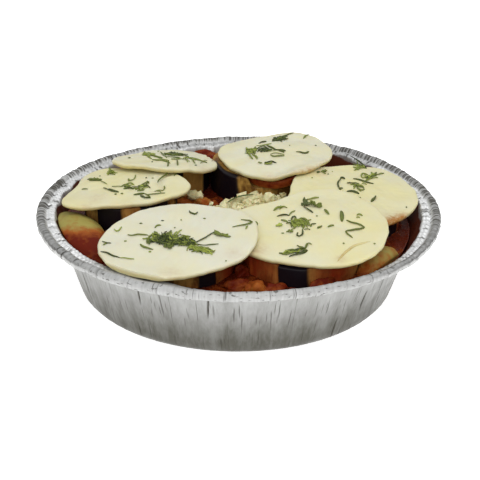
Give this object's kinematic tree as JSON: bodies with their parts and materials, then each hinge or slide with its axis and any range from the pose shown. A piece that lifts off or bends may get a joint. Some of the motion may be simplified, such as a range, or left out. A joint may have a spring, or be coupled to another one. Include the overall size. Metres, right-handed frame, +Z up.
{
  "type": "dish of eggplant parmigiana",
  "caption": "Round foil tray of baked eggplant rounds standing in tomato sauce, with tomato, pale cheese slices, chopped parsley and grated cheese.",
  "frame": {"origin": "middle of the tray's flat base, on the surface that it stands on, under the centre of the rim", "axes": "+Z up, +X to the right and -Y towards the front as the dish is seen in the picture"},
  "size_m": [0.2298, 0.2298, 0.0622],
  "materials": {
    "foil": "thin pressed and creased aluminium foil, half bright",
    "eggplant": "baked eggplant, moist olive brown flesh with bands of near black purple peel",
    "tomato": "cooked tomato, moist, red with pale yellow green shoulders",
    "sauce": "reduced tomato sauce, dark red brown and wet",
    "cheese": "thin slices of pale cream cheese, soft and slightly oily, with chopped green parsley",
    "grated_cheese": "crumbs of hard grated cheese, pale straw"
  },
  "bodies": {
    "root": {"foil_tray": "foil", "tomato_sauce": "sauce", "eggplant_round_right": "eggplant", "eggplant_round_left": "eggplant", "eggplant_round_front_right": "eggplant", "eggplant_round_back_left": "eggplant", "eggplant_round_back_center": "eggplant", "eggplant_round_front_left": "eggplant", "tomato_slice_back_center": "tomato", "tomato_wedge_left": "tomato", "tomato_wedge_right": "tomato", "grated_cheese": "grated_cheese", "cheese_slice_right": "cheese", "cheese_slice_left": "cheese", "cheese_slice_front_right": "cheese", "cheese_slice_back_left": "cheese", "cheese_slice_back_center": "cheese", "cheese_slice_front_left": "cheese"}
  },
  "joints": []
}
